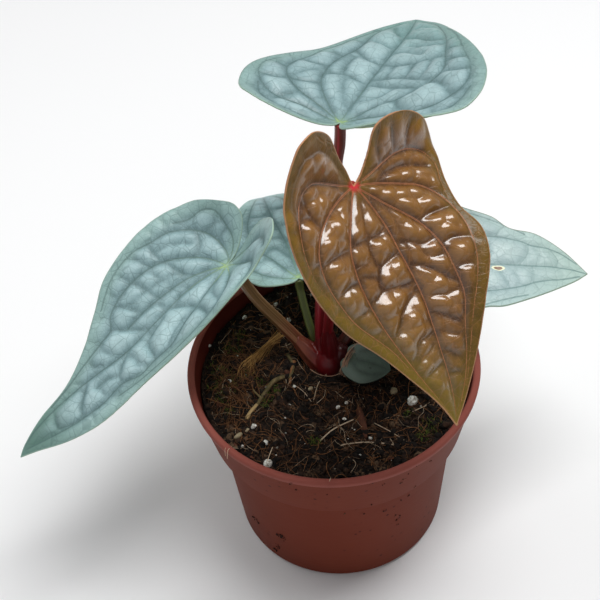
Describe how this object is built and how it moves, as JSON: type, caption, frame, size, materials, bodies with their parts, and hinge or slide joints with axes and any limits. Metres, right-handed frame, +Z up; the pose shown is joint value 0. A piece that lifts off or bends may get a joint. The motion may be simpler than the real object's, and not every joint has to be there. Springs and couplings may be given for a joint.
{
  "type": "potted anthurium luxurians",
  "caption": "Young aroid house plant with quilted heart-shaped leaves on slim stalks, rooted in peat in a round tapered nursery pot with a deep collar.",
  "frame": {"origin": "centre of the pot's flat underside, on the surface it stands on", "axes": "+Z up out of the pot, -Y towards the front of the picture's view, +X to its right"},
  "size_m": [0.2374, 0.2141, 0.231],
  "materials": {
    "pot_plastic": "satin moulded brown-red plastic with a lighter lip",
    "peat": "damp dark peat crumb, matte",
    "root": "pale tan corky root skin, matte",
    "crown_red": "glossy deep red sheaths",
    "stalk_red": "glossy red stalk",
    "stalk_brown": "satin olive-brown stalk",
    "stalk_olive": "satin olive-green stalk",
    "stalk_dark": "satin dark red-brown stalk",
    "leaf_silver": "satin blue-green blade with darker net veins and a pale green edge",
    "leaf_bronze": "glossy brown-olive blade with pale orange veins and a thin pale edge",
    "leaf_dull": "matte dark teal-grey blade"
  },
  "bodies": {
    "root": {"pot": "pot_plastic", "soil": "peat", "rootstock": "root", "crown": "crown_red", "stalk_top": "stalk_red", "stalk_bronze": "stalk_red", "stalk_left": "stalk_brown", "stalk_back_left": "stalk_olive", "stalk_right": "stalk_dark", "stalk_small": "stalk_olive", "leaf_top": "leaf_silver", "leaf_left": "leaf_silver", "leaf_back_left": "leaf_silver", "leaf_right": "leaf_silver", "leaf_bronze": "leaf_bronze", "leaf_small": "leaf_dull"}
  },
  "joints": []
}
